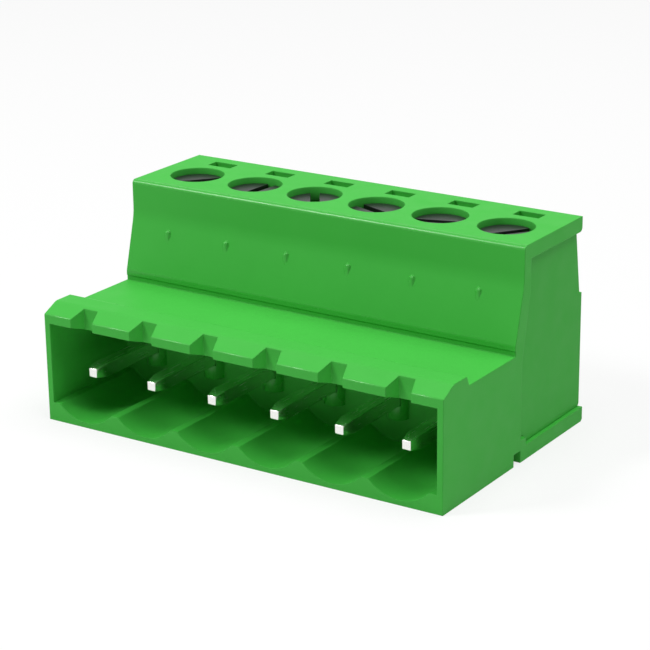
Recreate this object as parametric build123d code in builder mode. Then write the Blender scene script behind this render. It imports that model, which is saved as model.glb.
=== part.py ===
from build123d import *
from math import atan2, degrees
import os

# Six-pole pluggable screw terminal with male pins, 5.08 mm pitch.
# All sizes are in millimetres. The origin is at the middle of the underside.
# X runs along the row of poles, Y from the mating face to the wire side, Z up.
# "Depth" is always measured from the mating face towards the wire side.

# Row of poles
pole_count = 6
pole_pitch = 5.08
end_margin = 3.27

# Overall height and the height of the deck in front of the upper wall
overall_height = 15.0
deck_height = 7.75
edge_chamfer = 0.15

# Shroud round the pins
shroud_side_wall = 0.44
shroud_top_wall = 1.05
cavity_depth = 8.4
floor_ridge_height = 1.33
floor_groove_radius = 3.1
floor_groove_bottom = 0.36
lead_in_depth = 1.5
lead_in_height = 0.46

# Ridge and keying notches on the shroud's top edge
ridge_front_rise = 0.05
ridge_rise = 0.67
ridge_crest_depth = 1.3
ridge_top_length = 1.6
ridge_back_slope = 0.3
ridge_crest_radius = 0.9
ridge_edge_radius = 0.12
notch_front_width = 1.88
notch_back_width = 1.2
notch_depth = 1.1

# Front wall above the deck, which leans back and then stands upright
wall_foot_depth = 9.28
wall_lean = 1.08
wall_upright_foot = 0.7
wall_upright_top = 2.5
wall_foot_radius = 1.0
wall_bend_radius = 4.0
wall_top_fillet = 0.3
wall_foot_thickness = 0.94
wall_top_thickness = 0.88
inner_bend_drop = 0.75
inner_upright_top = 3.1
foot_groove_height = 0.36
foot_groove_depth = 0.05

# Small half-round pips with chamfered tops on the front wall, one for each pole
pip_radius = 0.2
pip_top_chamfer = 0.12
pip_length = 0.9
pip_drop = 3.25
pip_root = 0.4

# Top plate and base plate, which hold the rear block between them
top_plate_thickness = 1.04
top_plate_setback = 0.76
top_plate_lip_radius = 0.3
base_plate_thickness = 1.05
base_plate_setback = 0.05
base_groove_height = 0.87
base_groove_width = 0.92
gusset_length = 0.73
gusset_rise = 0.55

# Screw access holes and latch windows in the top plate
access_radius = 1.96
window_width = 1.98
window_length = 1.05
window_setback = 1.5

# Rear block with the cage chambers
block_inset = 0.3
block_gap = 0.05
block_step_height = 9.38
block_step_setback = 0.34
block_top_setback = 1.01
block_edge_chamfer = 0.18
block_floor = 1.65
block_back_wall = 2.65
partition_wall = 0.78
chamber_behind_cage = 0.99
chamber_roof_gap = 0.15
shank_clearance = 0.08
latch_height = 0.62
latch_clearance = 0.06
latch_ramp = 0.55

# Wire entries, which open into funnels at the rear
wire_space = 2.6
funnel_wall = 0.88
funnel_length = 1.5
funnel_flare = 0.75
wire_channel_clearance = 0.06

# Contact: square pin, riser and clamping bar in one stamped piece
pin_size = 1.0
pin_height = 3.763
pin_tip_depth = 0.966
pin_tip_size = 0.64
pin_taper = 1.0
pin_hole_clearance = 0.02
pin_boss_radius = 0.8
pin_boss_drop = 1.56
bar_thickness = 1.0
bar_side_clearance = 0.25
bar_end_gap = 0.2
bend_radius = 0.3
contact_wall_gap = 0.1

# Rising cage clamp
cage_length = 3.6
cage_side_clearance = 0.1
cage_floor = 0.8
cage_nut = 1.6
cage_edge_radius = 0.3
cage_rest_gap = 0.1
cage_bore_clearance = 0.05
cage_riser_gap = 0.69
cage_closing_gap = 0.05

# Clamping screw, M3
screw_radius = 1.5
screw_head_clearance = 0.06
screw_head_height = 1.75
screw_head_sink = 0.45
screw_seat_gap = 0.05
screw_tip_gap = 0.02
slot_width = 0.65
slot_depth = 0.8
slot_first_angle = 12.0
slot_angle_step = 37.0

# Widths across the row
housing_width = (pole_count - 1) * pole_pitch + 2 * end_margin
half_width = housing_width / 2
cavity_half_width = half_width - shroud_side_wall
block_half_width = half_width - block_inset
pole_x = [(i - (pole_count - 1) / 2) * pole_pitch for i in range(pole_count)]
chamber_width = pole_pitch - partition_wall
wire_channel_width = pole_pitch - funnel_wall - 2 * funnel_flare
cage_width = chamber_width - 2 * cage_side_clearance
cage_window_width = 2 * (screw_radius + cage_bore_clearance)
bar_width = cage_window_width - 2 * bar_side_clearance

# Depths from the mating face
ridge_back_depth = ridge_crest_depth + ridge_top_length
ridge_foot_depth = ridge_back_depth + ridge_back_slope
wall_top_depth = wall_foot_depth + wall_lean
inner_foot_depth = wall_foot_depth + wall_foot_thickness
inner_top_depth = wall_top_depth + wall_top_thickness
base_plate_front_depth = wall_foot_depth + base_groove_width
gusset_depth = inner_foot_depth + gusset_length
riser_front_depth = inner_foot_depth + contact_wall_gap
riser_back_depth = riser_front_depth + bar_thickness
screw_depth = riser_back_depth + cage_riser_gap + cage_length / 2
chamber_back_depth = screw_depth + cage_length / 2 + chamber_behind_cage
bar_end_depth = chamber_back_depth - bar_end_gap
overall_depth = chamber_back_depth + block_back_wall
base_plate_depth = overall_depth - base_plate_setback
top_plate_depth = overall_depth - top_plate_setback
window_depth = top_plate_depth - window_setback
block_step_depth = overall_depth - block_step_setback
block_top_depth = overall_depth - block_top_setback
mating_y = -overall_depth / 2
screw_y = mating_y + screw_depth

# Heights from the underside
ceiling_height = deck_height - shroud_top_wall
ridge_front_height = deck_height + ridge_front_rise
ridge_height = deck_height + ridge_rise
wall_lower_bend_height = deck_height + wall_upright_foot
wall_upper_bend_height = overall_height - wall_upright_top
inner_lower_bend_height = deck_height - inner_bend_drop
inner_upper_bend_height = overall_height - inner_upright_top
pip_top_height = overall_height - pip_drop
pip_bottom_height = pip_top_height - pip_length
gusset_height = base_plate_thickness + gusset_rise
top_plate_underside = overall_height - top_plate_thickness
block_top_height = top_plate_underside - block_gap
pin_bottom_height = pin_height - pin_size / 2
pin_boss_bottom = pin_height - pin_boss_drop
chamber_floor_height = base_plate_thickness + block_floor
cage_bottom_height = chamber_floor_height + cage_rest_gap
cage_window_bottom = cage_bottom_height + cage_floor
bar_bottom_height = cage_window_bottom + wire_space
bar_top_height = bar_bottom_height + bar_thickness
cage_window_top = bar_top_height + cage_rest_gap
cage_top_height = cage_window_top + cage_nut
cage_travel = wire_space - cage_closing_gap
chamber_roof_height = cage_top_height + cage_travel + chamber_roof_gap
wire_height = cage_window_bottom + wire_space / 2
wire_channel_height = wire_space - 2 * wire_channel_clearance
screw_head_top = overall_height - screw_head_sink
screw_head_bottom = screw_head_top - screw_head_height
screw_ledge_height = screw_head_bottom - screw_seat_gap
screw_tip_height = bar_top_height + screw_tip_gap
screw_head_radius = access_radius - screw_head_clearance

# The pips' front faces meet the leaning wall at the height of their lower ends
wall_slope = wall_lean / (wall_upper_bend_height - wall_lower_bend_height)
pip_front_depth = wall_foot_depth + wall_slope * (pip_bottom_height - wall_lower_bend_height)

# Slopes of the funnels' walls and of the pins' tapered tips
funnel_angle = degrees(atan2(funnel_flare, funnel_length))
pin_tip_angle = degrees(atan2((pin_size - pin_tip_size) / 2, pin_taper))

# Side view plane: its first axis is the depth, its second the height
side_view = Plane(origin=(0, mating_y, 0), x_dir=(0, 1, 0), z_dir=(1, 0, 0))


def front_view(depth):
    """Upright plane across the row at a depth: first axis X, second axis Z."""
    return Plane(origin=(0, mating_y + depth, 0), x_dir=(1, 0, 0), z_dir=(0, -1, 0))


def inner_wall_points(gap):
    """Inner face of the front wall, from the gusset up to the top plate."""
    return [
        (inner_foot_depth + gap, gusset_height + gap),
        (inner_foot_depth + gap, inner_lower_bend_height),
        (inner_top_depth + gap, inner_upper_bend_height),
        (inner_top_depth + gap, top_plate_underside - gap),
    ]


# One pip: a short round rod with a chamfered top, whose root is buried in the wall
with BuildPart() as pip:
    Cylinder(
        radius=pip_radius,
        height=pip_length + pip_root,
        align=(Align.CENTER, Align.CENTER, Align.MAX),
    )
    pip_rim = pip.edges().filter_by(GeomType.CIRCLE).sort_by(Axis.Z)[-1]
    chamfer(pip_rim, pip_top_chamfer)

# Housing: shroud, front wall, top plate and base plate moulded as one piece
with BuildPart() as housing:
    with BuildSketch(side_view):
        with BuildLine():
            ridge = FilletPolyline(
                (0, 0),
                (0, ridge_front_height),
                (ridge_crest_depth, ridge_height),
                (ridge_back_depth, ridge_height),
                (ridge_foot_depth, deck_height),
                (wall_foot_depth + foot_groove_depth, deck_height),
                radius=[ridge_edge_radius, ridge_crest_radius, ridge_edge_radius, ridge_edge_radius],
            )
            foot_groove = Polyline(
                ridge @ 1,
                (wall_foot_depth + foot_groove_depth, deck_height + foot_groove_height),
                (wall_foot_depth, deck_height + foot_groove_height),
            )
            front_wall = FilletPolyline(
                foot_groove @ 1,
                (wall_foot_depth, wall_lower_bend_height),
                (wall_top_depth, wall_upper_bend_height),
                (wall_top_depth, overall_height),
                (top_plate_depth, overall_height),
                radius=[wall_foot_radius, wall_bend_radius, wall_top_fillet],
            )
            lip = FilletPolyline(
                front_wall @ 1,
                (top_plate_depth, top_plate_underside),
                (inner_top_depth, top_plate_underside),
                radius=top_plate_lip_radius,
            )
            inner_wall = FilletPolyline(
                *reversed(inner_wall_points(0)),
                radius=wall_bend_radius,
            )
            Polyline(
                inner_wall @ 1,
                (gusset_depth, gusset_height),
                (gusset_depth, base_plate_thickness),
                (base_plate_depth, base_plate_thickness),
                (base_plate_depth, edge_chamfer),
                (base_plate_depth - edge_chamfer, 0),
                (base_plate_front_depth, 0),
                (base_plate_front_depth, base_groove_height),
                (wall_foot_depth, base_groove_height),
                (wall_foot_depth, 0),
                (0, 0),
            )
        make_face()
    extrude(amount=half_width, both=True)

    # Cavity: a flat box whose floor has a round groove under each pin
    with BuildSketch(front_view(cavity_depth)):
        with Locations(*[(x, floor_groove_bottom + floor_groove_radius) for x in pole_x]):
            Circle(floor_groove_radius)
        Rectangle(
            2 * cavity_half_width,
            floor_ridge_height,
            align=(Align.CENTER, Align.MIN),
            mode=Mode.INTERSECT,
        )
        with Locations((0, (floor_ridge_height + ceiling_height) / 2)):
            Rectangle(2 * cavity_half_width, ceiling_height - floor_ridge_height)
    extrude(amount=cavity_depth, mode=Mode.SUBTRACT)

    # Sloping lead-in under the shroud's top edge
    with BuildSketch(side_view):
        with BuildLine():
            Polyline(
                (0, ceiling_height),
                (0, ceiling_height + lead_in_height),
                (lead_in_depth, ceiling_height),
                close=True,
            )
        make_face()
    extrude(amount=cavity_half_width, both=True, mode=Mode.SUBTRACT)

    # Keying notches through the shroud's top edge, narrower towards the back
    with BuildSketch(Plane.XY.offset(ridge_height)):
        with Locations(*[(x, mating_y) for x in pole_x]):
            Polygon(
                (-notch_front_width / 2, 0),
                (notch_front_width / 2, 0),
                (notch_back_width / 2, notch_depth),
                (-notch_back_width / 2, notch_depth),
                align=None,
            )
    extrude(amount=ceiling_height - ridge_height, mode=Mode.SUBTRACT)

    # Round bosses at the back of the cavity, which stiffen the wall round each pin
    with BuildSketch(Plane.XY.offset(pin_boss_bottom)):
        with Locations(*[(x, mating_y + cavity_depth) for x in pole_x]):
            Circle(pin_boss_radius)
    extrude(amount=ceiling_height - pin_boss_bottom)

    # Square pin holes through the wall
    with BuildSketch(front_view(inner_foot_depth)):
        with Locations(*[(x, pin_height) for x in pole_x]):
            Rectangle(pin_size + 2 * pin_hole_clearance, pin_size + 2 * pin_hole_clearance)
    extrude(
        amount=inner_foot_depth - cavity_depth + pin_boss_radius,
        mode=Mode.SUBTRACT,
    )

    # Round screw access holes and square latch windows
    with Locations(*[(x, screw_y, overall_height) for x in pole_x]):
        Hole(radius=access_radius, depth=top_plate_thickness)
    with BuildSketch(Plane.XY.offset(overall_height)):
        with Locations(*[(x, mating_y + window_depth) for x in pole_x]):
            Rectangle(window_width, window_length)
    extrude(amount=-top_plate_thickness, mode=Mode.SUBTRACT)

    # Pips: upright half-round ribs that fade into the leaning front wall
    with Locations(*[(x, mating_y + pip_front_depth + pip_radius, pip_top_height) for x in pole_x]):
        add(pip.part)

housing.part.label = "housing"

# Rear block: partitions, cage chambers, screw seats and wire entries
with BuildPart() as wire_entry_block:
    with BuildSketch(side_view):
        with BuildLine():
            front_face = FilletPolyline(*inner_wall_points(block_gap), radius=wall_bend_radius)
            Polyline(
                front_face @ 1,
                (block_top_depth, block_top_height),
                (block_step_depth, block_step_height),
                (overall_depth, block_step_height),
                (overall_depth, base_plate_thickness + block_edge_chamfer),
                (overall_depth - block_edge_chamfer, base_plate_thickness),
                (gusset_depth + block_gap, base_plate_thickness),
                (gusset_depth + block_gap, gusset_height + block_gap),
                front_face @ 0,
            )
        make_face()
    extrude(amount=block_half_width, both=True)

    # Cage chambers, open to the front so that the metal parts can be loaded
    with BuildSketch(front_view(chamber_back_depth)):
        with Locations(*[(x, (chamber_floor_height + chamber_roof_height) / 2) for x in pole_x]):
            Rectangle(chamber_width, chamber_roof_height - chamber_floor_height)
    extrude(amount=chamber_back_depth - wall_foot_depth, mode=Mode.SUBTRACT)

    # Screw seats: a bore for the shank with a wider one above it for the head
    with BuildSketch(Plane.XY.offset(chamber_roof_height)):
        with Locations(*[(x, screw_y) for x in pole_x]):
            Circle(screw_radius + shank_clearance)
    extrude(amount=screw_ledge_height - chamber_roof_height, mode=Mode.SUBTRACT)
    with BuildSketch(Plane.XY.offset(screw_ledge_height)):
        with Locations(*[(x, screw_y) for x in pole_x]):
            Circle(access_radius)
    extrude(amount=block_top_height - screw_ledge_height, mode=Mode.SUBTRACT)

    # Wire entries: a straight channel into the chamber, with a funnel at the rear
    with BuildSketch(front_view(overall_depth)):
        with Locations(*[(x, wire_height) for x in pole_x]):
            Rectangle(wire_channel_width, wire_channel_height)
    extrude(amount=overall_depth - chamber_back_depth, mode=Mode.SUBTRACT)
    with BuildSketch(front_view(overall_depth)):
        with Locations(*[(x, wire_height) for x in pole_x]):
            Rectangle(wire_channel_width + 2 * funnel_flare, wire_channel_height + 2 * funnel_flare)
    extrude(amount=funnel_length, taper=funnel_angle, mode=Mode.SUBTRACT)

    # Latches that snap into the windows of the top plate
    latch_back = window_depth + window_length / 2 - latch_clearance
    latch_front = window_depth - window_length / 2 + latch_clearance
    for x in pole_x:
        with BuildSketch(side_view.offset(x)):
            with BuildLine():
                Polyline(
                    (latch_front, block_top_height),
                    (latch_front + latch_ramp, block_top_height + latch_height),
                    (latch_back, block_top_height + latch_height),
                    (latch_back, block_top_height),
                    close=True,
                )
            make_face()
        extrude(amount=window_width / 2 - latch_clearance, both=True)

wire_entry_block.part.label = "wire_entry_block"

os.makedirs("parts", exist_ok=True)
export_step(housing.part, "parts/housing.step")
export_step(wire_entry_block.part, "parts/wire_entry_block.step")

# Contacts, cages and screws, one of each for every pole
for number, x in enumerate(pole_x, start=1):
    # Contact: the pin, the riser behind the wall and the bar through the cage
    with BuildPart() as contact:
        with BuildSketch(side_view.offset(x)) as strip:
            with BuildLine():
                Polyline(
                    (riser_front_depth, pin_bottom_height),
                    (riser_back_depth, pin_bottom_height),
                    (riser_back_depth, bar_bottom_height),
                    (bar_end_depth, bar_bottom_height),
                    (bar_end_depth, bar_top_height),
                    (riser_front_depth, bar_top_height),
                    close=True,
                )
            make_face()
            upper_corner = strip.vertices().group_by(Axis.Y)[-1].sort_by(Axis.X)[0]
            inner_corner = strip.vertices().group_by(Axis.Y)[1].sort_by(Axis.X)[0]
            fillet(upper_corner, bend_radius + bar_thickness)
            fillet(inner_corner, bend_radius)
        extrude(amount=bar_width / 2, both=True)
        with BuildSketch(front_view(riser_front_depth + bar_thickness / 2)):
            with Locations((x, pin_height)):
                Rectangle(pin_size, pin_size)
        extrude(amount=riser_front_depth + bar_thickness / 2 - pin_tip_depth - pin_taper)
        with BuildSketch(front_view(pin_tip_depth + pin_taper)):
            with Locations((x, pin_height)):
                Rectangle(pin_size, pin_size)
        extrude(amount=pin_taper, taper=pin_tip_angle)
    contact.part.label = f"contact_{number}"
    export_step(contact.part, f"parts/contact_{number}.step")

    # Cage: a square sleeve with a threaded top, open towards the wire entry
    with BuildPart() as clamp_cage:
        with BuildSketch(front_view(screw_depth + cage_length / 2)):
            with Locations((x, (cage_bottom_height + cage_top_height) / 2)):
                RectangleRounded(cage_width, cage_top_height - cage_bottom_height, cage_edge_radius)
            with Locations((x, (cage_window_bottom + cage_window_top) / 2)):
                Rectangle(cage_window_width, cage_window_top - cage_window_bottom, mode=Mode.SUBTRACT)
        extrude(amount=cage_length)
        with BuildSketch(Plane.XY.offset(cage_window_top)):
            with Locations((x, screw_y)):
                Circle(screw_radius + cage_bore_clearance)
        extrude(amount=cage_nut, mode=Mode.SUBTRACT)
    clamp_cage.part.label = f"clamp_cage_{number}"
    export_step(clamp_cage.part, f"parts/clamp_cage_{number}.step")

    # Screw: slotted head in its seat, shank through the cage onto the bar
    with BuildPart() as clamp_screw:
        with BuildSketch(Plane.XY.offset(screw_head_bottom)):
            with Locations((x, screw_y)):
                Circle(screw_head_radius)
        extrude(amount=screw_head_height)
        with BuildSketch(Plane.XY.offset(screw_tip_height)):
            with Locations((x, screw_y)):
                Circle(screw_radius)
        extrude(amount=screw_head_bottom - screw_tip_height)
        with BuildSketch(Plane.XY.offset(screw_head_top)):
            with Locations((x, screw_y)):
                Rectangle(
                    2 * access_radius,
                    slot_width,
                    rotation=slot_first_angle + slot_angle_step * number,
                )
        extrude(amount=-slot_depth, mode=Mode.SUBTRACT)
    clamp_screw.part.label = f"clamp_screw_{number}"
    export_step(clamp_screw.part, f"parts/clamp_screw_{number}.step")
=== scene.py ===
import bmesh
import bpy
import math
from mathutils import Matrix, Vector


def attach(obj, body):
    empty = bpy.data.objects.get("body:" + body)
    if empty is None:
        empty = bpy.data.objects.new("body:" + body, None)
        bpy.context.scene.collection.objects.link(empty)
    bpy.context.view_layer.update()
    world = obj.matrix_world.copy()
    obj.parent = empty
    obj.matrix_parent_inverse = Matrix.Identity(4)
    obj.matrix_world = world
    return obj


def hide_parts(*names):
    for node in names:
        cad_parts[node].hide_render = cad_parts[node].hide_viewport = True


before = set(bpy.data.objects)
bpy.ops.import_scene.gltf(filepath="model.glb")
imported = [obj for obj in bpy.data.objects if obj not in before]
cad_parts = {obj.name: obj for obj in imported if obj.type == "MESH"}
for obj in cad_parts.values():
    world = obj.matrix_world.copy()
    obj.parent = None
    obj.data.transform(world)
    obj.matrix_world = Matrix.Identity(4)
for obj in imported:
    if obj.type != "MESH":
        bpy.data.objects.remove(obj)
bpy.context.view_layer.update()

# Sizes of the real plug in metres, in the frame's own axes
MM = 0.001
POLE_COUNT = 6
POLE_PITCH = 5.08 * MM
POLE_X = [(i - (POLE_COUNT - 1) / 2) * POLE_PITCH for i in range(POLE_COUNT)]
SCREW_Y = 4.185 * MM
SCREW_HEAD_TOP = 14.55 * MM
SCREW_HEAD_BOTTOM = 12.8 * MM
SCREW_HEAD_RADIUS = 1.9 * MM
SCREW_TIP = 7.22 * MM
SCREW_RADIUS = 1.5 * MM
THREAD_PITCH = 0.5 * MM
THREAD_DEPTH = 0.27 * MM
THREAD_RUN_OUT = 0.3 * MM
SLOT_WIDTH = 0.65 * MM
SLOT_DEPTH = 0.8 * MM
SLOT_FIRST_ANGLE = 12.0
SLOT_ANGLE_STEP = 37.0
CAGE_FLOOR_TOP = 3.6 * MM
CAGE_WINDOW = 2.95 * MM
GROOVE_COUNT = 5
GROOVE_SPACING = 0.6 * MM
GROOVE_DEPTH = 0.12 * MM
BAR_UNDERSIDE = 6.2 * MM

# Edges: radii of the finished pieces, and the turn in degrees that makes an edge
MOULDING_RADIUS = 0.1 * MM
SHEET_RADIUS = 0.05 * MM
SCREW_EDGE_RADIUS = 0.07 * MM
EDGE_SEGMENTS = 2
EDGE_TURN = 32
# Above the turn between the thread's own facets, so that only the head's edges are rounded
SCREW_EDGE_TURN = 60
# A moulding's fillets are strips narrower than this, whose faces turn by at least this much
FILLET_WIDTH = 0.12 * MM
FILLET_TURN = 2

# How finely the meshes are made
THREAD_SIDES = 40
THREAD_RINGS = 110
HEAD_SIDES = 64
MERGE_DISTANCE = 0.0005 * MM
FLAT_TURN = 0.6


def linear(hex_colour):
    """An sRGB hex colour as linear RGBA."""
    parts = [int(hex_colour[i:i + 2], 16) / 255 for i in (1, 3, 5)]
    tones = [c / 12.92 if c <= 0.04045 else ((c + 0.055) / 1.055) ** 2.4 for c in parts]
    return tuple(tones) + (1.0,)


WHITE = linear("#FFFFFF")


def add(tree, kind, inputs=None, **settings):
    """Adds a node with its settings; an input is a value or the socket that feeds it."""
    node = tree.nodes.new(kind)
    for name, value in settings.items():
        setattr(node, name, value)
    for name, value in (inputs or {}).items():
        if isinstance(value, bpy.types.NodeSocket):
            tree.links.new(value, node.inputs[name])
        else:
            node.inputs[name].default_value = value
    return node


def math_node(tree, operation, first, second=0.0, third=0.0):
    """A sum worked out by a tree from sockets or numbers."""
    inputs = {0: first, 1: second, 2: third}
    return add(tree, "ShaderNodeMath", inputs, operation=operation).outputs[0]


def empty_tree(owner):
    """The node tree of a material or world, with nothing in it."""
    owner.use_nodes = True
    owner.node_tree.nodes.clear()
    return owner.node_tree


def seen_directly(tree):
    """1 for what the camera sees, itself or in metal or glass, and 0 for light on the object."""
    path = add(tree, "ShaderNodeLightPath").outputs
    seen = math_node(tree, "MAXIMUM", path["Is Camera Ray"], path["Is Glossy Ray"])
    return math_node(tree, "MAXIMUM", seen, path["Is Transmission Ray"])


# Camera: where the photograph was taken from, found from the plug's own corners
AZIMUTH = math.radians(33.375)
ELEVATION = math.radians(19.027)
ROLL = math.radians(-0.687)
TARGET = Vector((2.013, -1.625, 7.852)) * MM
DISTANCE = 149.68 * MM
SENSOR_WIDTH_MM = 36.0
FOCAL_LENGTH_MM = 122.21
NEAREST = 0.005
FARTHEST = 10.0
back = Vector((
    math.sin(AZIMUTH) * math.cos(ELEVATION),
    -math.cos(AZIMUTH) * math.cos(ELEVATION),
    math.sin(ELEVATION),
))
level = Vector((math.cos(AZIMUTH), math.sin(AZIMUTH), 0))
upright = back.cross(level)
right = level * math.cos(ROLL) + upright * math.sin(ROLL)
up = upright * math.cos(ROLL) - level * math.sin(ROLL)
lens = bpy.data.cameras.new("camera")
lens.sensor_width = SENSOR_WIDTH_MM
lens.lens = FOCAL_LENGTH_MM
lens.clip_start = NEAREST
lens.clip_end = FARTHEST
camera = bpy.data.objects.new("camera", lens)
bpy.context.scene.collection.objects.link(camera)
turned = Matrix((right, up, back)).transposed().to_4x4()
camera.matrix_world = Matrix.Translation(TARGET + back * DISTANCE) @ turned
bpy.context.scene.camera = camera
bpy.context.scene.view_settings.view_transform = "Standard"

# World: even pale studio light, seen as white by the camera and in reflections
AMBIENT_LEVEL = 0.04
world = bpy.data.worlds.new("studio")
bpy.context.scene.world = world
tree = empty_tree(world)
seen = seen_directly(tree)
studio = add(tree, "ShaderNodeBackground", {"Color": WHITE, "Strength": AMBIENT_LEVEL})
backdrop = add(tree, "ShaderNodeBackground", {"Color": WHITE, "Strength": 1.0})
sky = add(tree, "ShaderNodeMixShader", {0: seen, 1: studio.outputs[0], 2: backdrop.outputs[0]})
add(tree, "ShaderNodeOutputWorld", {"Surface": sky.outputs[0]})

# Lamps: a wide one overhead for the tops, a smaller one at the front left for the mating face
LAMP_AIM = (0.0, 0.0, 0.005)


def softbox(name, place, size, power):
    """A square softbox in metres and watts, turned to face the plug."""
    lamp = bpy.data.lights.new(name, "AREA")
    lamp.shape = "SQUARE"
    lamp.size = size
    lamp.energy = power
    box = bpy.data.objects.new(name, lamp)
    bpy.context.scene.collection.objects.link(box)
    box.location = Vector(place)
    box.rotation_mode = "QUATERNION"
    box.rotation_quaternion = (Vector(LAMP_AIM) - Vector(place)).to_track_quat("-Z", "Y")


softbox("overhead_softbox", (0.08, 0.02, 0.42), 0.36, 1.75)
softbox("front_left_softbox", (-0.23, -0.22, 0.30), 0.1, 0.85)

# Floor: pale matt card under the plug. The camera and reflections see it nearly white, through
# a share of glow that clears its grey, and the rest of it keeps the plug's shadow.
FLOOR_REACH = 1.5
FLOOR_GLOW = 0.76
card = bpy.data.materials.new("matt_card_floor")
tree = empty_tree(card)
seen = seen_directly(tree)
lit = add(tree, "ShaderNodeBsdfDiffuse", {"Color": linear("#EAEAEA")})
pale = add(tree, "ShaderNodeBsdfDiffuse", {"Color": linear("#F6F6F6")})
glow = add(tree, "ShaderNodeEmission", {"Color": WHITE, "Strength": 1.0})
white = add(tree, "ShaderNodeMixShader", {0: FLOOR_GLOW, 1: pale.outputs[0], 2: glow.outputs[0]})
surface = add(tree, "ShaderNodeMixShader", {0: seen, 1: lit.outputs[0], 2: white.outputs[0]})
add(tree, "ShaderNodeOutputMaterial", {"Surface": surface.outputs[0]})
floor_mesh = bpy.data.meshes.new("floor")
floor_corners = [(x * FLOOR_REACH, y * FLOOR_REACH, 0) for x, y in ((-1, -1), (1, -1), (1, 1), (-1, 1))]
floor_mesh.from_pydata(floor_corners, [], [(0, 1, 2, 3)])
floor_mesh.materials.append(card)
floor = bpy.data.objects.new("floor", floor_mesh)
bpy.context.scene.collection.objects.link(floor)

# Polyamide moulded off a spark-eroded tool
PIGMENT_PATCH = 7 * MM
GLOSS_PATCH = 1.5 * MM
FLAT_ROUGHNESS = (0.6, 0.68)
FILLET_ROUGHNESS_DROP = -0.36
# Coarser than the real grain, so that it can be seen
GRAIN_SIZE = 0.12 * MM
GRAIN_HEIGHT = 0.002 * MM
GRAIN_STRENGTH = 0.6
EDGE_SHADING_RADIUS = 0.1 * MM
EDGE_SHADING_SAMPLES = 8
POLYAMIDE_IOR = 1.53
POLYAMIDE_SPECULAR = 0.32
# Share of a noise's range that is spread over a span of roughness
NOISE_LOW = 0.3
NOISE_HIGH = 0.7


def noise(tree, vector, scale, detail):
    """Soft noise, its scale in patches per unit of the vector."""
    inputs = {"Vector": vector, "Scale": scale, "Detail": detail}
    return add(tree, "ShaderNodeTexNoise", inputs).outputs[0]


def roughness_from(tree, pattern, smooth, rough):
    """Roughness between two values, uneven as a pattern is."""
    return add(
        tree, "ShaderNodeMapRange",
        {
            "Value": pattern, "From Min": NOISE_LOW, "From Max": NOISE_HIGH,
            "To Min": smooth, "To Max": rough,
        },
    ).outputs[0]


def moulded_polyamide(name, pale, deep, seed):
    """Moulded PA66 off a spark-eroded tool: satin, fine grain, slow changes of tone."""
    material = bpy.data.materials.new(name)
    tree = empty_tree(material)
    place = add(tree, "ShaderNodeTexCoord")
    shifted = add(
        tree, "ShaderNodeMapping",
        {"Vector": place.outputs["Object"], "Location": (seed * MM, 0, 0)},
    ).outputs[0]
    # Slow drift of pigment along the flow of the melt
    colour = add(
        tree, "ShaderNodeMix",
        {0: noise(tree, shifted, 1 / PIGMENT_PATCH, 2.0), 6: linear(pale), 7: linear(deep)},
        data_type="RGBA",
    )
    # Satin gloss, a little uneven
    gloss = roughness_from(tree, noise(tree, shifted, 1 / GLOSS_PATCH, 3.0), *FLAT_ROUGHNESS)
    # Grain from the tool. Fillets carry none and are rubbed smooth by handling
    grain = noise(tree, shifted, 1 / GRAIN_SIZE, 2.0)
    rounded = add(tree, "ShaderNodeAttribute", attribute_name="rounded").outputs["Fac"]
    grain = math_node(tree, "MULTIPLY", grain, math_node(tree, "SUBTRACT", 1.0, rounded))
    gloss = math_node(tree, "MULTIPLY_ADD", rounded, FILLET_ROUGHNESS_DROP, gloss)
    # Sharp edges are shaded as if rounded by the tool's radius
    edges = add(
        tree, "ShaderNodeBevel",
        {"Radius": EDGE_SHADING_RADIUS}, samples=EDGE_SHADING_SAMPLES,
    )
    relief = add(
        tree, "ShaderNodeBump",
        {
            "Height": grain, "Distance": GRAIN_HEIGHT, "Strength": GRAIN_STRENGTH,
            "Normal": edges.outputs[0],
        },
    )
    plastic = add(
        tree, "ShaderNodeBsdfPrincipled",
        {
            "Base Color": colour.outputs[2], "Roughness": gloss, "IOR": POLYAMIDE_IOR,
            "Specular IOR Level": POLYAMIDE_SPECULAR, "Normal": relief.outputs[0],
        },
    )
    add(tree, "ShaderNodeOutputMaterial", {"Surface": plastic.outputs[0]})
    return material


# Metal: relief of the drawing or rolling lines, and of the marks that a lathe leaves
LINE_HEIGHT = 0.001 * MM
LINE_STRENGTH = 0.4
# Coarser than the real feed, so that the marks can be seen
LATHE_FEED = 0.14 * MM
LATHE_MARK_HEIGHT = 0.004 * MM
LATHE_MARK_STRENGTH = 0.5
LATHE_MARK_START = 0.05 * MM
# Axes that the lines run along
ALONG_Y = 1
ALONG_Z = 2


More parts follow.
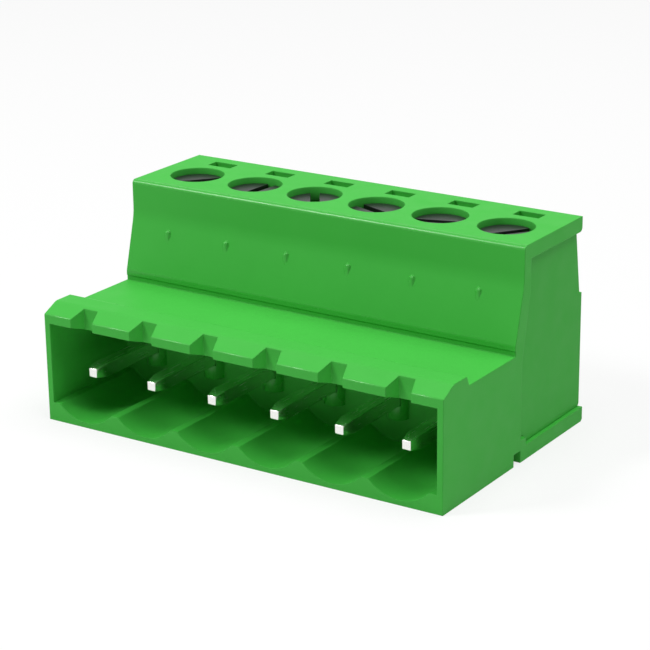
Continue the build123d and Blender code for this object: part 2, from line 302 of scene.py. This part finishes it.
def plated_metal(name, colour_hex, smooth, rough, line_size, line_length, along, turned_from=None):
    """Plated metal with the fine drawing or rolling lines of the blank under the plating.

    Above the height turned_from the surface was turned on a lathe, with marks round the axis.
    """
    material = bpy.data.materials.new(name)
    tree = empty_tree(material)
    place = add(tree, "ShaderNodeTexCoord")
    scales = [1 / line_size] * 3
    scales[along] = 1 / line_length
    stretched = add(
        tree, "ShaderNodeMapping",
        {"Vector": place.outputs["Object"], "Scale": scales},
    )
    lines = noise(tree, stretched.outputs[0], 1.0, 3.0)
    gloss = roughness_from(tree, lines, smooth, rough)
    relief = add(
        tree, "ShaderNodeBump",
        {"Height": lines, "Distance": LINE_HEIGHT, "Strength": LINE_STRENGTH},
    )
    if turned_from is not None:
        reach = add(tree, "ShaderNodeAttribute", attribute_name="from_axis").outputs["Fac"]
        wave = math_node(tree, "MULTIPLY", reach, 2 * math.pi / LATHE_FEED)
        wave = math_node(tree, "SINE", wave)
        height = add(tree, "ShaderNodeSeparateXYZ", {0: place.outputs["Object"]})
        turned_share = add(
            tree, "ShaderNodeMapRange",
            {
                "Value": height.outputs["Z"],
                "From Min": turned_from, "From Max": turned_from + LATHE_MARK_START,
            },
        )
        wave = math_node(tree, "MULTIPLY", wave, turned_share.outputs[0])
        relief = add(
            tree, "ShaderNodeBump",
            {
                "Height": wave, "Distance": LATHE_MARK_HEIGHT, "Strength": LATHE_MARK_STRENGTH,
                "Normal": relief.outputs[0],
            },
        )
    metal = add(
        tree, "ShaderNodeBsdfPrincipled",
        {
            "Base Color": linear(colour_hex), "Metallic": 1.0,
            "Roughness": gloss, "Normal": relief.outputs[0],
        },
    )
    add(tree, "ShaderNodeOutputMaterial", {"Surface": metal.outputs[0]})
    return material


# Two mouldings of the same green, the block a shade deeper: painted shade for its front wall, which the
# light leaves darker than the housing's front
green_housing = moulded_polyamide("moulded_pa66_green_housing", "#3FB73F", "#3BAF3B", 0)
green_block = moulded_polyamide("moulded_pa66_green_block", "#3CB33C", "#38AB38", 40)
# Tin over rolled and stamped brass: pale and bright, with soft lines along the pin
tinned_brass = plated_metal(
    "tin_plated_brass", "#EFEFEB", 0.16, 0.28, 0.04 * MM, 2.5 * MM, ALONG_Y,
)
# Nickel over rolled steel: darker than the tin and a little duller
nickel_steel = plated_metal(
    "nickel_plated_steel", "#CECDCA", 0.22, 0.34, 0.05 * MM, 2.0 * MM, ALONG_Y,
)
# Zinc over turned steel, its colour darkened as painted shade for the heads sunk in their holes, with
# rings round the head
zinc_steel = plated_metal(
    "zinc_steel_painted_shade_dark", "#484C4B", 0.34, 0.46, 0.05 * MM, 0.3 * MM, ALONG_Z,
    SCREW_HEAD_BOTTOM,
)


def edge_finish(piece, width, turn=EDGE_TURN):
    """Rounds the edges of a piece by a width in metres where its faces turn by more degrees."""
    rounding = piece.modifiers.new("edge_rounding", "BEVEL")
    rounding.width = width
    rounding.segments = EDGE_SEGMENTS
    rounding.limit_method = "ANGLE"
    rounding.angle_limit = math.radians(turn)
    # Large flat faces keep their own direction, so that only the rounded edges are shaded round
    shading = piece.modifiers.new("flat_faces", "WEIGHTED_NORMAL")
    shading.weight = 100
    shading.keep_sharp = False


def cad_copy(name):
    """A closed copy of a CAD node, its flat faces whole again."""
    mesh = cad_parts[name].data.copy()
    shape = bmesh.new()
    shape.from_mesh(mesh)
    bmesh.ops.remove_doubles(shape, verts=shape.verts, dist=MERGE_DISTANCE)
    bmesh.ops.dissolve_limit(
        shape, angle_limit=math.radians(FLAT_TURN), verts=shape.verts, edges=shape.edges,
    )
    bmesh.ops.recalc_face_normals(shape, faces=shape.faces)
    shape.to_mesh(mesh)
    shape.free()
    mesh.materials.clear()
    for face in mesh.polygons:
        face.use_smooth = True
    mesh.set_sharp_from_angle(angle=math.radians(EDGE_TURN))
    piece = bpy.data.objects.new(name + "_finished", mesh)
    bpy.context.scene.collection.objects.link(piece)
    return piece


def mark_fillets(piece):
    """Marks the narrow curved strips of a moulding's fillets."""
    least, most = math.radians(FILLET_TURN), math.radians(EDGE_TURN)
    shape = bmesh.new()
    shape.from_mesh(piece.data)
    rounded = shape.faces.layers.float.new("rounded")
    for face in shape.faces:
        width = face.calc_area() / max(side.calc_length() for side in face.edges)
        turns = [side.calc_face_angle(0.0) for side in face.edges]
        if width < FILLET_WIDTH and any(least < turn < most for turn in turns):
            face[rounded] = 1.0
    shape.to_mesh(piece.data)
    shape.free()


def bake(piece, finish, node, body):
    """Turns a piece with modifiers into a plain mesh that stands for a CAD node."""
    bpy.context.view_layer.update()
    evaluated = piece.evaluated_get(bpy.context.evaluated_depsgraph_get())
    mesh = bpy.data.meshes.new_from_object(evaluated)
    piece.modifiers.clear()
    piece.data = mesh
    mesh.materials.clear()
    mesh.materials.append(finish)
    for face in mesh.polygons:
        face.material_index = 0
    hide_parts(node)
    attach(piece, body)


def new_tree(name, sizes, with_geometry):
    """A geometry tree with named inputs for its sizes, and the sockets of those inputs."""
    tree = bpy.data.node_groups.new(name, "GeometryNodeTree")
    tree.interface.new_socket("Geometry", in_out="OUTPUT", socket_type="NodeSocketGeometry")
    if with_geometry:
        tree.interface.new_socket("Geometry", in_out="INPUT", socket_type="NodeSocketGeometry")
    for label, kind in sizes.items():
        tree.interface.new_socket(label, in_out="INPUT", socket_type=kind)
    return tree, tree.nodes.new("NodeGroupInput").outputs


def set_inputs(piece, tree, values):
    """Gives a tree to a piece and sets the tree's inputs by their identifiers."""
    modifier = piece.modifiers.new(tree.name, "NODES")
    modifier.node_group = tree
    for item in tree.interface.items_tree:
        if item.in_out == "INPUT" and item.name in values:
            modifier[item.identifier] = values[item.name]


def vector(tree, **parts):
    """A vector put together by a tree from its X, Y and Z."""
    return add(tree, "ShaderNodeCombineXYZ", parts).outputs[0]


def moved(tree, geometry, **changes):
    """Geometry moved or turned by a tree."""
    return add(tree, "GeometryNodeTransform", {"Geometry": geometry, **changes}).outputs[0]


def finish_tree(tree, geometry, material):
    """Ends a geometry tree with real meshes in their own material."""
    real = add(tree, "GeometryNodeRealizeInstances", {"Geometry": geometry})
    inputs = {"Geometry": real.outputs[0], "Material": material}
    dressed = add(tree, "GeometryNodeSetMaterial", inputs)
    add(tree, "NodeGroupOutput", {0: dressed.outputs[0]})


# Clamping screw: rolled thread, head and slot, built along its own axis
FLOAT = "NodeSocketFloat"
SCREW_SIZES = {
    "Head Radius": FLOAT, "Head Bottom": FLOAT, "Head Top": FLOAT, "Tip": FLOAT, "Radius": FLOAT,
    "Pitch": FLOAT, "Depth": FLOAT, "Slot Width": FLOAT, "Slot Depth": FLOAT, "Slot Angle": FLOAT,
    "Place": "NodeSocketVector", "Finish": "NodeSocketMaterial",
}
screw_tree, size = new_tree("slotted_clamp_screw", SCREW_SIZES, False)
# The shank as a tube whose radius follows the thread's flanks
shank_length = math_node(screw_tree, "SUBTRACT", size["Head Bottom"], size["Tip"])
shank = add(
    screw_tree, "GeometryNodeMeshCylinder",
    {
        "Vertices": THREAD_SIDES, "Side Segments": THREAD_RINGS,
        "Radius": size["Radius"], "Depth": shank_length,
    },
)
spot = add(screw_tree, "GeometryNodeInputPosition").outputs[0]
parts = add(screw_tree, "ShaderNodeSeparateXYZ", {0: spot}).outputs
turn = math_node(screw_tree, "ARCTAN2", parts["Y"], parts["X"])
turn = math_node(screw_tree, "DIVIDE", turn, 2 * math.pi)
climb = math_node(screw_tree, "DIVIDE", parts["Z"], size["Pitch"])
phase = math_node(screw_tree, "FRACT", math_node(screw_tree, "SUBTRACT", climb, turn))
# Across one pitch the flank runs from 1 at a root's middle to 0 at a crest's middle
flank = math_node(screw_tree, "MULTIPLY_ADD", phase, 2.0, -1.0)
flank = math_node(screw_tree, "ABSOLUTE", flank)
CREST_END = 0.12
ROOT_START = 0.75
groove = add(
    screw_tree, "ShaderNodeMapRange",
    {"Value": flank, "From Min": CREST_END, "From Max": ROOT_START},
).outputs[0]
# The thread runs out at the tip and under the head
upper_end = math_node(screw_tree, "MULTIPLY", shank_length, 0.5)
from_end = math_node(screw_tree, "ABSOLUTE", parts["Z"])
from_end = math_node(screw_tree, "SUBTRACT", upper_end, from_end)
run_out = add(
    screw_tree, "ShaderNodeMapRange",
    {"Value": from_end, "From Min": 0.0, "From Max": THREAD_RUN_OUT},
).outputs[0]
cut = math_node(screw_tree, "MULTIPLY", groove, run_out)
cut = math_node(screw_tree, "MULTIPLY", cut, size["Depth"])
shrink = math_node(screw_tree, "DIVIDE", cut, size["Radius"])
shrink = math_node(screw_tree, "SUBTRACT", 1.0, shrink)
shrunk = vector(
    screw_tree,
    X=math_node(screw_tree, "MULTIPLY", parts["X"], shrink),
    Y=math_node(screw_tree, "MULTIPLY", parts["Y"], shrink),
    Z=parts["Z"],
)
threaded = add(
    screw_tree, "GeometryNodeSetPosition",
    {"Geometry": shank.outputs["Mesh"], "Position": shrunk},
)
shank_middle = math_node(screw_tree, "ADD", size["Head Bottom"], size["Tip"])
shank_middle = math_node(screw_tree, "MULTIPLY", shank_middle, 0.5)
threaded = moved(screw_tree, threaded.outputs[0], Translation=vector(screw_tree, Z=shank_middle))
# The head with its slot cut across the top
head_height = math_node(screw_tree, "SUBTRACT", size["Head Top"], size["Head Bottom"])
head = add(
    screw_tree, "GeometryNodeMeshCylinder",
    {"Vertices": HEAD_SIDES, "Radius": size["Head Radius"], "Depth": head_height},
)
head_middle = math_node(screw_tree, "ADD", size["Head Bottom"], size["Head Top"])
head_middle = math_node(screw_tree, "MULTIPLY", head_middle, 0.5)
head = moved(screw_tree, head.outputs["Mesh"], Translation=vector(screw_tree, Z=head_middle))
# The cutter for the slot is longer than the head and centred on its top
slot_box = vector(
    screw_tree,
    X=math_node(screw_tree, "MULTIPLY", size["Head Radius"], 3.0),
    Y=size["Slot Width"],
    Z=math_node(screw_tree, "MULTIPLY", size["Slot Depth"], 2.0),
)
blade = add(screw_tree, "GeometryNodeMeshCube", {"Size": slot_box})
blade = moved(
    screw_tree, blade.outputs["Mesh"],
    Translation=vector(screw_tree, Z=size["Head Top"]),
    Rotation=vector(screw_tree, Z=size["Slot Angle"]),
)
slotted = add(
    screw_tree, "GeometryNodeMeshBoolean",
    {"Mesh 1": head}, operation="DIFFERENCE", solver="EXACT",
)
screw_tree.links.new(blade, slotted.inputs["Mesh 2"])
whole = add(screw_tree, "GeometryNodeJoinGeometry")
screw_tree.links.new(slotted.outputs["Mesh"], whole.inputs[0])
screw_tree.links.new(threaded, whole.inputs[0])
# Distance from the axis, kept for the turning marks
from_axis = add(
    screw_tree, "ShaderNodeVectorMath",
    {0: spot, 1: (1.0, 1.0, 0.0)}, operation="MULTIPLY",
)
from_axis = add(
    screw_tree, "ShaderNodeVectorMath", {0: from_axis.outputs[0]}, operation="LENGTH",
)
marked = add(
    screw_tree, "GeometryNodeStoreNamedAttribute",
    {"Geometry": whole.outputs[0], "Name": "from_axis", "Value": from_axis.outputs["Value"]},
    data_type="FLOAT", domain="POINT",
)
placed = moved(screw_tree, marked.outputs[0], Translation=size["Place"])
finish_tree(screw_tree, placed, size["Finish"])

# Clamping grooves: V cuts across the wire in a cage floor or under a bar
GROOVE_SIZES = {
    "Count": "NodeSocketInt", "Spacing": FLOAT, "Depth": FLOAT, "Length": FLOAT,
    "Place": "NodeSocketVector", "Finish": "NodeSocketMaterial",
}
groove_tree, size = new_tree("clamping_grooves", GROOVE_SIZES, True)
row_length = math_node(groove_tree, "SUBTRACT", size["Count"], 1)
row_length = math_node(groove_tree, "MULTIPLY", row_length, size["Spacing"])
half_back = vector(groove_tree, Y=math_node(groove_tree, "MULTIPLY", row_length, -0.5))
row_start = add(
    groove_tree, "ShaderNodeVectorMath", {0: size["Place"], 1: half_back}, operation="ADD",
)
row = add(
    groove_tree, "GeometryNodeMeshLine",
    {
        "Count": size["Count"], "Start Location": row_start.outputs[0],
        "Offset": vector(groove_tree, Y=size["Spacing"]),
    },
)
# Each cutter is a square bar turned on its edge, as deep as half its diagonal
edge = math_node(groove_tree, "MULTIPLY", size["Depth"], math.sqrt(2))
cutter_box = vector(groove_tree, X=size["Length"], Y=edge, Z=edge)
cutter = add(groove_tree, "GeometryNodeMeshCube", {"Size": cutter_box})
cutters = add(
    groove_tree, "GeometryNodeInstanceOnPoints",
    {
        "Points": row.outputs[0], "Instance": cutter.outputs["Mesh"],
        "Rotation": (math.pi / 4, 0, 0),
    },
)
cutters = add(groove_tree, "GeometryNodeRealizeInstances", {"Geometry": cutters.outputs[0]})
grooved = add(
    groove_tree, "GeometryNodeMeshBoolean",
    {"Mesh 1": size["Geometry"]}, operation="DIFFERENCE", solver="EXACT",
)
groove_tree.links.new(cutters.outputs[0], grooved.inputs["Mesh 2"])
finish_tree(groove_tree, grooved.outputs["Mesh"], size["Finish"])

# Mouldings. Their small features hold this rounding to a few micrometres, and it is kept
# because the front band and the floor's ridges shade unevenly without it
for name, finish, slot in (
    ("housing", green_housing, "green_housing"),
    ("wire_entry_block", green_block, "green_block"),
):
    piece = cad_copy(name)
    mark_fillets(piece)
    edge_finish(piece, MOULDING_RADIUS)
    bake(piece, finish, name, "housing")


def groove_inputs(x, height, finish):
    """The grooves' inputs for one pole, with the row's middle at a height."""
    return {
        "Count": GROOVE_COUNT, "Spacing": GROOVE_SPACING, "Depth": GROOVE_DEPTH,
        "Length": CAGE_WINDOW, "Place": (x, SCREW_Y, height), "Finish": finish,
    }


# Metal parts of the six poles
for number, x in enumerate(POLE_X, start=1):
    screw_mesh = bpy.data.meshes.new(f"clamp_screw_{number}")
    screw = bpy.data.objects.new(f"clamp_screw_{number}_finished", screw_mesh)
    bpy.context.scene.collection.objects.link(screw)
    set_inputs(screw, screw_tree, {
        "Head Radius": SCREW_HEAD_RADIUS, "Head Bottom": SCREW_HEAD_BOTTOM,
        "Head Top": SCREW_HEAD_TOP, "Tip": SCREW_TIP, "Radius": SCREW_RADIUS,
        "Pitch": THREAD_PITCH, "Depth": THREAD_DEPTH,
        "Slot Width": SLOT_WIDTH, "Slot Depth": SLOT_DEPTH,
        "Slot Angle": math.radians(SLOT_FIRST_ANGLE + SLOT_ANGLE_STEP * number),
        "Place": (x, SCREW_Y, 0.0), "Finish": zinc_steel,
    })
    edge_finish(screw, SCREW_EDGE_RADIUS, SCREW_EDGE_TURN)
    bake(screw, zinc_steel, f"clamp_screw_{number}", f"clamp_screw_{number}")

    cage = cad_copy(f"clamp_cage_{number}")
    set_inputs(cage, groove_tree, groove_inputs(x, CAGE_FLOOR_TOP, nickel_steel))
    edge_finish(cage, SHEET_RADIUS)
    bake(cage, nickel_steel, f"clamp_cage_{number}", f"clamp_cage_{number}")

    contact = cad_copy(f"contact_{number}")
    set_inputs(contact, groove_tree, groove_inputs(x, BAR_UNDERSIDE, tinned_brass))
    edge_finish(contact, SHEET_RADIUS)
    bake(contact, tinned_brass, f"contact_{number}", "housing")
